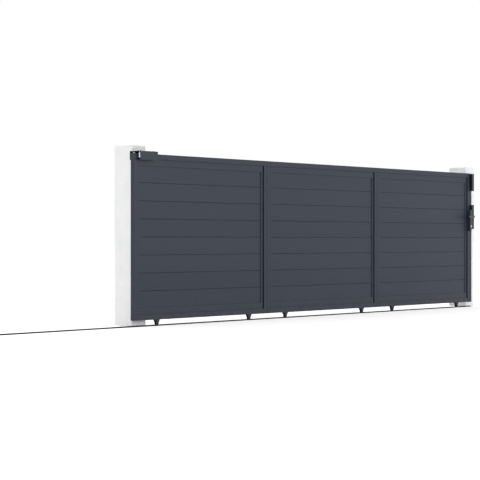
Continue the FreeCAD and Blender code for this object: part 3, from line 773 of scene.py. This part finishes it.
def makeBuffer():
    low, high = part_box("stop_buffer")
    middle, size = (low + high) / 2, high - low
    buffer = begin("cylinder", "moulded_buffer", middle, vertices=40, radius=size.z / 2, depth=size.x,
                   rotation=turns["right"])
    footEnd = low.x + bufferLook["foot"]
    for side in (-1, 1):
        cutAcross((footEnd + side * bufferLook["footStep"], middle.y, middle.z), (1, 0, 0))
    pick(buffer, lambda corner: corner.co.x > footEnd, "VERT")
    squeeze(middle, y=bufferLook["waist"], z=bufferLook["waist"])
    pick(buffer, lambda edge: allAbove(edge, 0, high.x), "EDGE")
    bpy.ops.mesh.bevel(offset=bufferLook["nose"], segments=4)
    pick(buffer, lambda face: looksTo(face, Vector((1, 0, 0))))
    bpy.ops.mesh.inset(thickness=bufferLook["rim"])
    push(x=-bufferLook["sink"])
    closeUp(buffer)
    mount(buffer, "site", "buffer_rubber", "stop_buffer")


# weld beads where the stop's gusset meets its foot and its upright
weldLook = {"radius": 0.0024, "pitch": 0.0021, "squash": 0.62, "halfGusset": 0.003, "plate": 0.006,
            "run": 0.070}


def makeBead(start, axis, way):
    # one bead, squashed along its run and laid in a row
    bead = begin("uv_sphere", "bead", start, segments=10, ring_count=6, radius=weldLook["radius"])
    bpy.ops.mesh.select_all(action="SELECT")
    factors = [1.0, 1.0, 1.0]
    factors[axis] = weldLook["squash"]
    squeeze(start, *factors)
    bpy.ops.object.mode_set(mode="OBJECT")
    row = bead.modifiers.new("row", "ARRAY")
    row.use_relative_offset = False
    row.use_constant_offset = True
    row.count = int(weldLook["run"] / weldLook["pitch"])
    step = Vector()
    step[axis] = weldLook["pitch"] * way
    row.constant_offset_displace = step
    applyAll(bead)
    bpy.ops.object.shade_smooth()
    return bead


def makeWelds():
    low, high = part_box("rail_end_stop")
    corner = Vector((high.x - weldLook["plate"], (low.y + high.y) / 2, low.z + weldLook["plate"]))
    beads = []
    for axis, way in ((0, -1), (2, 1)):  # back along the foot, then up the upright
        for side in (-1, 1):
            start = corner + Vector((0, side * weldLook["halfGusset"], 0))
            beads.append(makeBead(start, axis, way))
    mount(joinUp(beads, "stop_welds"), "site", "bracket_coat")


makeBuffer()
makeWelds()
print("stop dressed")


# lever: a turned rose and waisted neck with a tapered, rounded grip
leverLook = {"rose": 0.0088, "roseRise": 0.0030, "roseEase": 0.0010, "neck": 0.0068, "waist": 0.86,
             "neckSteps": 8, "gripDepth": 0.0115, "gripCuts": 9, "gripEase": 0.0046, "sharpFrom": 60,
             "tip": 0.80, "drawnIn": (0.022, 0.007), "drawnBack": 0.004}


def makeNeck(axisX, axisZ, back, reach):
    look = leverLook
    front = back - look["roseRise"]
    neck = begin("cylinder", "neck", (axisX, (back + front) / 2, axisZ), vertices=40, radius=look["rose"],
                 depth=look["roseRise"], rotation=turns["front"])
    pick(neck, lambda edge: allBelow(edge, 1, front), "EDGE")
    bpy.ops.mesh.bevel(offset=look["roseEase"], segments=3)
    pick(neck, lambda face: allBelow(face, 1, front))
    bpy.ops.mesh.inset(thickness=look["rose"] - look["roseEase"] - look["neck"])
    before = 1.0
    for number in range(1, look["neckSteps"] + 1):
        push(y=(reach - front) / look["neckSteps"])
        wanted = 1 - (1 - look["waist"]) * math.sin(math.pi * number / look["neckSteps"])
        squeeze((axisX, 0, axisZ), x=wanted / before, z=wanted / before)
        before = wanted
    return closeUp(neck)


def makeGrip(low, high):
    look = leverLook
    middle = Vector(((low.x + high.x) / 2, low.y + look["gripDepth"] / 2, (low.z + high.z) / 2))
    grip = begin("cube", "grip", middle, size=1, scale=(high.x - low.x, look["gripDepth"], high.z - low.z))
    pick(grip, lambda edge: runsAlong(edge, 0), "EDGE")
    bpy.ops.mesh.subdivide(number_cuts=look["gripCuts"])
    sections = look["gripCuts"] + 1
    for number in range(sections):
        along = low.x + (high.x - low.x) * number / sections
        pick(grip, lambda corner: abs(corner.co.x - along) < touch, "VERT")
        taper = look["tip"] + (1 - look["tip"]) * math.sin(math.pi / 2 * number / sections)
        squeeze((along, middle.y, middle.z), z=taper)
    closeUp(grip)
    ease = grip.modifiers.new("ease", "BEVEL")
    ease.width = look["gripEase"]
    ease.segments = 5
    ease.limit_method = "ANGLE"
    ease.angle_limit = math.radians(look["sharpFrom"])
    applyAll(grip)
    bpy.ops.object.shade_smooth_by_angle(angle=math.radians(smoothAngles["usual"]))
    return grip


def makeLever():
    low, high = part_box("lever_handle")
    # a short grip: drawn in from both ends of the solid and from its outer face
    farEnd, nearEnd = leverLook["drawnIn"]
    low = low + Vector((farEnd, leverLook["drawnBack"], 0))
    high = high - Vector((nearEnd, 0, 0))
    plateLow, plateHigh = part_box("lock_front_plate")
    neck = makeNeck((plateLow.x + plateHigh.x) / 2, (low.z + high.z) / 2, caseFront(),
                    low.y + leverLook["gripDepth"] / 2)
    lever = joinUp([neck, makeGrip(low, high)], "finished_lever")
    mount(lever, "lever", "lever_satin", "lever_handle")


makeLever()
print("lever finished")


# lock forend: a thin plate on the closing edge with the opening for the hook
forendLook = {"thickness": 0.0012, "width": 0.024, "height": 0.235, "openingWidth": 0.016,
              "openingHeight": 0.070, "ease": 0.004, "screwFromEnds": 0.014}
forendScrewLook = {"radius": 0.0034, "rise": 0.0006, "dome": 0.0004, "socket": 0.0017, "socketDepth": 0.0004}


def makeForend():
    look = forendLook
    low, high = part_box("closing_profile")
    level = sum(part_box("lever_handle"), Vector()).z / 2
    middle = Vector((high.x + look["thickness"] / 2, (low.y + high.y) / 2, level))
    forend = begin("cube", "lock_forend", middle, size=1,
                   scale=(look["thickness"], look["width"], look["height"]))
    pick(forend, lambda edge: runsAlong(edge, 0), "EDGE")
    bpy.ops.mesh.bevel(offset=look["ease"], segments=4)
    opening = Vector((0, look["openingWidth"] / 2, look["openingHeight"] / 2))
    for side in (-1, 1):
        cutAcross(middle + side * opening, (0, 0, 1))
    for side in (-1, 1):
        cutAcross(middle + side * opening, (0, 1, 0))

    def overOpening(face):
        away = face.calc_center_median() - middle
        return abs(away.y) < opening.y and abs(away.z) < opening.z

    pick(forend, lambda face: abs(face.normal.x) > aligned and overOpening(face))
    bpy.ops.mesh.bridge_edge_loops()
    closeUp(forend, "crisp")
    mount(forend, "leaf", "cylinder_nickel")
    screw = makeScrew(forendScrewLook)
    reach = look["height"] / 2 - look["screwFromEnds"]
    places = [((high.x + look["thickness"], middle.y, level + side * reach), "right") for side in (-1, 1)]
    mount(repeat(screw, "lock_forend_screws", places), "leaf", "cylinder_nickel")
    discard(screw)


makeForend()
print("forend set")


# floor, lights and camera
stageLook = {"floorSize": 600, "floorColour": (0.80, 0.80, 0.80, 1), "floorRough": 0.9,
             "floorLift": (0.42, 0.60), "liftReach": (7.0, 18.0), "worldStrength": 0.78}
lightLooks = {
    "frontRightBox": {"at": (10.5, -9.0, 2.6), "aim": (2.0, 0.0, 0.7), "size": (14.0, 6.0), "power": 100},
    "leftFill": {"at": (-10.5, -0.3, 4.0), "aim": (0.0, 0.0, 0.6), "size": (5.0, 4.0), "power": 305},
    "frontFill": {"at": (4.8, -11.6, 2.4), "aim": (4.2, 0.0, 0.5), "size": (6.0, 4.0), "power": 370},
    "backFill": {"at": (6.0, 9.0, 6.0), "aim": (1.0, 0.0, 0.4), "size": (6.0, 4.0), "power": 630},
}


class World(Paint):
    # the nodes of the surroundings
    def __init__(self, name):
        world = bpy.data.worlds.new(name)
        world.use_nodes = True
        bpy.context.scene.world = world
        self.tree = world.node_tree
        self.shader = self.tree.nodes["Background"]


def makeFloor():
    bpy.ops.object.select_all(action="DESELECT")
    bpy.ops.mesh.primitive_plane_add(size=stageLook["floorSize"], location=(0, 0, 0))
    floor = bpy.context.object
    floor.name = "floor"
    paint = Paint("floorPale")
    paint.finish(Base_Color=stageLook["floorColour"], Roughness=stageLook["floorRough"])
    away = paint.add("ShaderNodeVectorMath", {"operation": "LENGTH"}, {0: paint.place()})("Value")
    lift = paint.fit(away, *stageLook["liftReach"], *stageLook["floorLift"])
    glow = paint.add("ShaderNodeEmission", sockets={"Color": (1, 1, 1, 1), "Strength": paint.seen() * lift})
    both = paint.add("ShaderNodeAddShader", sockets={0: Wire(paint, paint.shader.outputs[0]), 1: glow()})
    paint.feed(paint.tree.nodes["Material Output"], {"Surface": both()})
    floor.data.materials.append(paint.material)


def makeWorld():
    paint = World("studio")
    strength = paint.fit(paint.seen(), 0, 1, stageLook["worldStrength"], 1.0)
    paint.feed(paint.shader, {"Color": (1, 1, 1, 1), "Strength": strength})


def makeLight(name, look):
    bpy.ops.object.select_all(action="DESELECT")
    bpy.ops.object.light_add(type="AREA", location=look["at"])
    light = bpy.context.object
    light.name = name
    light.data.shape = "RECTANGLE"
    light.data.size, light.data.size_y = look["size"]
    light.data.energy = look["power"]
    aim = Vector(look["aim"]) - light.location
    light.rotation_euler = aim.to_track_quat("-Z", "Y").to_euler()


# the view: camera solved from the leaf's edges in the 480 by 480 picture
viewLook = {"fromLeaf": (-6.577, -7.334, 0.578), "heading": 46.28, "focal": 1375.1, "pictureWidth": 480,
            "sensor": 36.0, "clipEnd": 200}


def makeCamera():
    low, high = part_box("left_module_bottom_rail")
    bpy.ops.object.camera_add()
    camera = bpy.context.object
    camera.location = low + Vector(viewLook["fromLeaf"])
    camera.rotation_euler = (math.radians(90), 0, -math.radians(viewLook["heading"]))
    camera.data.sensor_width = viewLook["sensor"]
    camera.data.lens = viewLook["focal"] * viewLook["sensor"] / viewLook["pictureWidth"]
    camera.data.clip_end = viewLook["clipEnd"]
    bpy.context.scene.camera = camera


makeFloor()
makeWorld()
for name, look in lightLooks.items():
    makeLight(name, look)
makeCamera()
bpy.context.scene.view_settings.view_transform = "Standard"
print("stage set")
